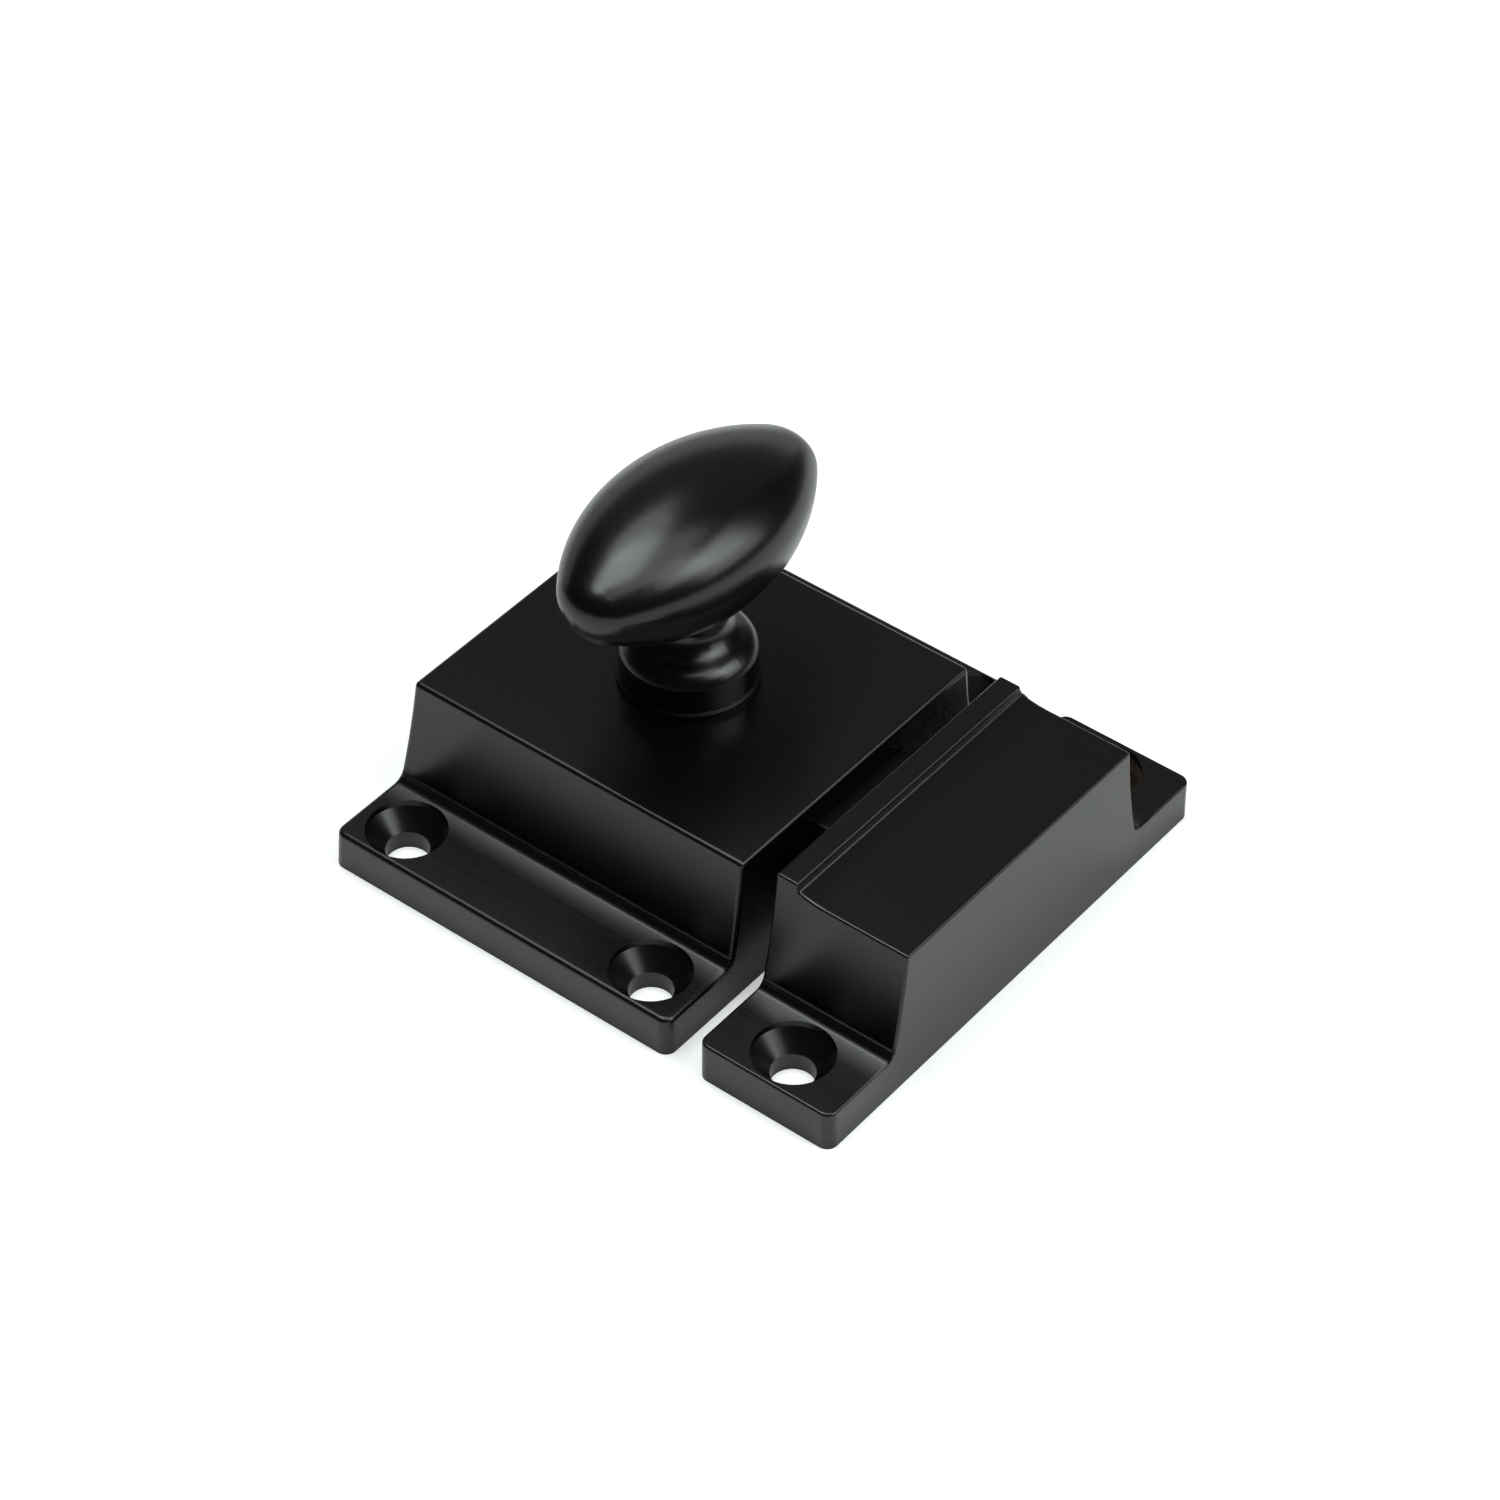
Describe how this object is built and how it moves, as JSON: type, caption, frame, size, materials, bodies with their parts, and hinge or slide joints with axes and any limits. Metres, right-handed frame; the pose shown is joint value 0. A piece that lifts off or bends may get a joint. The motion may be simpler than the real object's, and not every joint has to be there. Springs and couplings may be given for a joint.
{
  "type": "cupboard catch latch",
  "caption": "Black cupboard catch: an oval knob on a raised case turns to draw back a sprung bevelled bolt, and a separate lipped keeper receives it.",
  "frame": {"origin": "centre of the case's four mounting screw holes, on the mounting plane, below the knob's axis", "axes": "+X from the case to the keeper, the way the bolt is thrown; +Y along the plates and the knob's long side; +Z out of the door, along the knob's axis"},
  "size_m": [0.0524, 0.05, 0.0351],
  "materials": {
    "case_black": "satin black lacquer over brushed brass",
    "keeper_black": "satin black lacquer over brushed brass",
    "knob_black": "satin black lacquer over polished brass",
    "bush_black": "satin black lacquer",
    "bolt_brass": "satin black lacquer, worn on the bevel",
    "cam_brass": "machined",
    "back_plate_brass": "rolled sheet",
    "spindle_steel": "turned",
    "washer_steel": "zinc plated",
    "clip_steel": "phosphated spring steel",
    "screw_steel": "zinc plated",
    "pin_steel": "bright drawn",
    "spring_steel": "drawn wire"
  },
  "bodies": {
    "case": {"case_body": "case_black", "keeper": "keeper_black", "spindle_bush": "bush_black", "back_plate": "back_plate_brass", "back_plate_screws": "screw_steel", "bolt_spring_left": "spring_steel", "bolt_spring_right": "spring_steel"},
    "knob": {"knob": "knob_black", "knob_spindle": "spindle_steel", "thrust_washer": "washer_steel", "retaining_clip": "clip_steel", "drive_cam": "cam_brass", "cam_washer": "washer_steel", "cam_screw": "screw_steel"},
    "bolt": {"latch_bolt": "bolt_brass", "bolt_guide_pins": "pin_steel"}
  },
  "joints": [
    {"name": "knob_turn", "type": "hinge", "parent": "case", "child": "knob", "pos_m": [0, 0, 0.0148], "axis": [0, 0, 1], "range_deg": [0, 60], "stiffness_Nm_per_rad": 0.0116, "springref_deg": -39.13},
    {"name": "bolt_slide", "type": "slide", "parent": "case", "child": "bolt", "axis": [-1, 0, 0], "range_m": [0, 0.0046], "deforming": ["bolt_spring_left", "bolt_spring_right"]}
  ],
  "couplings": [
    {"joint": "bolt_slide", "follows": "knob_turn", "m_per_rad": 0.0043926}
  ]
}
